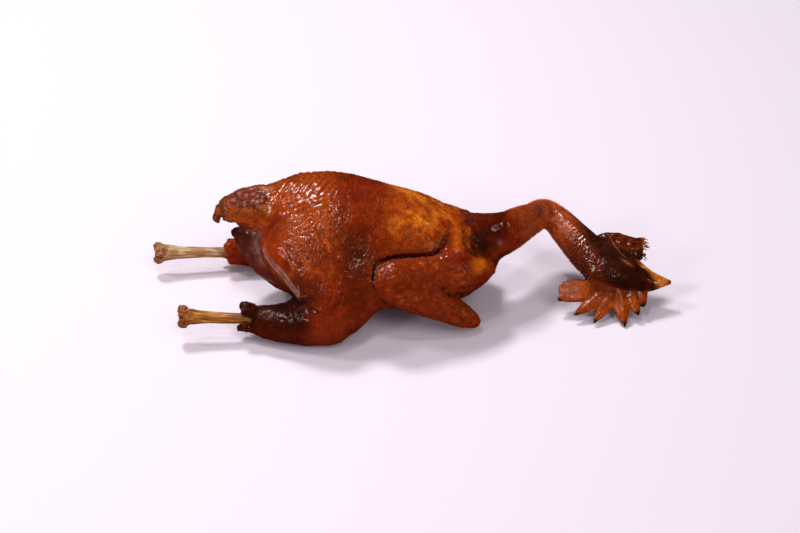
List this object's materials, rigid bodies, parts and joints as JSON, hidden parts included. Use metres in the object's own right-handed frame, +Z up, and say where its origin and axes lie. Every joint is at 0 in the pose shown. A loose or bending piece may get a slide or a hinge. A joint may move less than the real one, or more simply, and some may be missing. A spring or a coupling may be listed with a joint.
{
  "type": "braised chicken",
  "caption": "Whole braised chicken with head and comb, lying on its breast with legs drawn back, wings folded and neck bent to one side.",
  "frame": {"origin": "middle of the small flat under the breast that the bird rests on", "axes": "+X from the tail towards the beak, +Y towards the bird's left side, +Z up from the plate"},
  "size_m": [0.4186, 0.1521, 0.109],
  "materials": {
    "braised_skin": "glossy, oily sauce glaze",
    "bare_bone_near": "satin, stained by the sauce",
    "bare_bone_far": "satin, stained by the sauce"
  },
  "bodies": {
    "root": {"bird": "braised_skin", "shin_bone_near": "bare_bone_near", "shin_bone_far": "bare_bone_far"}
  },
  "joints": []
}
